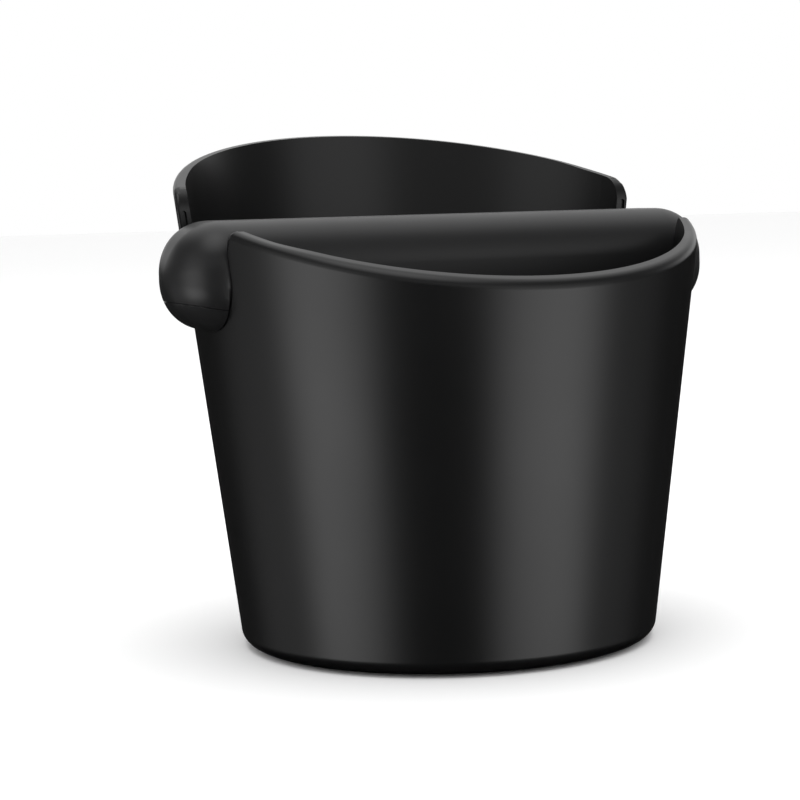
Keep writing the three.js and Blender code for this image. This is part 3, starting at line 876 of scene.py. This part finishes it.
def studio_world():
    """White behind the object, and the soft boxes that its gloss picks up."""
    world = bpy.data.worlds.new("studio")
    bpy.context.scene.world = world
    world.use_nodes = True
    world.cycles.sampling_method = "NONE"
    nodes, links = world.node_tree.nodes, world.node_tree.links
    nodes.clear()

    def math_node(operation, first, second=None):
        node = nodes.new("ShaderNodeMath")
        node.operation = operation
        for socket, value in zip(node.inputs, (first, second)):
            if isinstance(value, bpy.types.NodeSocket):
                links.new(value, socket)
            elif value is not None:
                socket.default_value = value
        return node.outputs["Value"]

    def ramp(value, limits):
        node = nodes.new("ShaderNodeMapRange")
        node.interpolation_type = "SMOOTHSTEP"
        for name, number in zip(("From Min", "From Max", "To Min", "To Max"), limits):
            node.inputs[name].default_value = number
        links.new(value, node.inputs["Value"])
        return node.outputs["Result"]

    def facing(vector, direction):
        node = nodes.new("ShaderNodeVectorMath")
        node.operation = "DOT_PRODUCT"
        links.new(vector, node.inputs[0])
        node.inputs[1].default_value = direction
        return node.outputs["Value"]

    place = nodes.new("ShaderNodeTexCoord").outputs["Generated"]
    level = nodes.new("ShaderNodeVectorMath")
    level.operation = "MULTIPLY"
    level.inputs[1].default_value = (1, 1, 0)
    links.new(place, level.inputs[0])
    bearing = nodes.new("ShaderNodeVectorMath")
    bearing.operation = "NORMALIZE"
    links.new(level.outputs["Vector"], bearing.inputs[0])
    height = facing(place, (0, 0, 1))

    def towards(degrees):
        angle = math.radians(degrees)
        return facing(bearing.outputs["Vector"], (math.cos(angle), math.sin(angle), 0))

    def level_strip(degrees, spread, lower_edge, upper_edge):
        height_part = math_node("MULTIPLY", ramp(height, lower_edge), ramp(height, upper_edge))
        return math_node("MULTIPLY", ramp(towards(degrees), spread), height_part)

    total = BAND_FLOOR
    for degrees, narrow, strength in BANDS:
        total = math_node("ADD", ramp(towards(degrees), (narrow, 1.0, 0.0, strength)), total)
    fade = math_node("ADD", ramp(height, BAND_LOW_FADE), ramp(height, BAND_HIGH_FADE))
    faded = math_node("MULTIPLY", total, fade)
    gloss = math_node("MULTIPLY", faded, ramp(height, COUNTER_EDGE))
    for part in (
        ramp(height, CEILING),
        ramp(facing(place, OVERHEAD_DIRECTION), OVERHEAD_SPREAD),
        level_strip(*BACK_STRIP),
        level_strip(*FRONT_GLOW),
        ramp(facing(place, SPOT_DIRECTION), SPOT_SPREAD),
    ):
        gloss = math_node("ADD", gloss, part)

    reflected = nodes.new("ShaderNodeBackground")
    reflected.inputs["Color"].default_value = (1, 1, 1, 1)
    links.new(gloss, reflected.inputs["Strength"])
    plain = nodes.new("ShaderNodeBackground")
    plain.inputs["Color"].default_value = (1, 1, 1, 1)
    plain.inputs["Strength"].default_value = 1.0
    path = nodes.new("ShaderNodeLightPath")
    choose = nodes.new("ShaderNodeMixShader")
    links.new(path.outputs["Is Glossy Ray"], choose.inputs["Fac"])
    links.new(plain.outputs["Background"], choose.inputs[1])
    links.new(reflected.outputs["Background"], choose.inputs[2])
    out = nodes.new("ShaderNodeOutputWorld")
    links.new(choose.outputs["Shader"], out.inputs["Surface"])


white_floor()
soft_light()
studio_world()


# ------------------------------------------------------------------ camera
# Low and close in front of the box, a little to the left, so that the near knob, the
# length of the bar and the inside of the high back all show.

CAMERA_PLACE = (-0.228814, -0.491639, 0.109027)
CAMERA_TARGET = (0, 0, 0.06939)
CAMERA_ROLL = math.radians(-1.375)
CAMERA_LENS = 100.81
CAMERA_SHIFT = (-0.0530, -0.0597)


def studio_camera():
    """The camera, with the small roll and shift of the framing."""
    data = bpy.data.cameras.new("camera")
    data.lens = CAMERA_LENS
    data.sensor_width = 36
    data.shift_x, data.shift_y = CAMERA_SHIFT
    data.clip_start = 0.01
    camera = bpy.data.objects.new("camera", data)
    camera.location = CAMERA_PLACE
    towards = Vector(CAMERA_TARGET) - camera.location
    aim = towards.to_track_quat("-Z", "Y").to_matrix()
    camera.rotation_euler = (aim @ Matrix.Rotation(CAMERA_ROLL, 3, "Z")).to_euler()
    bpy.context.scene.collection.objects.link(camera)
    bpy.context.scene.camera = camera


studio_camera()
bpy.context.scene.view_settings.view_transform = "Standard"
bpy.context.scene.cycles.use_denoising = True
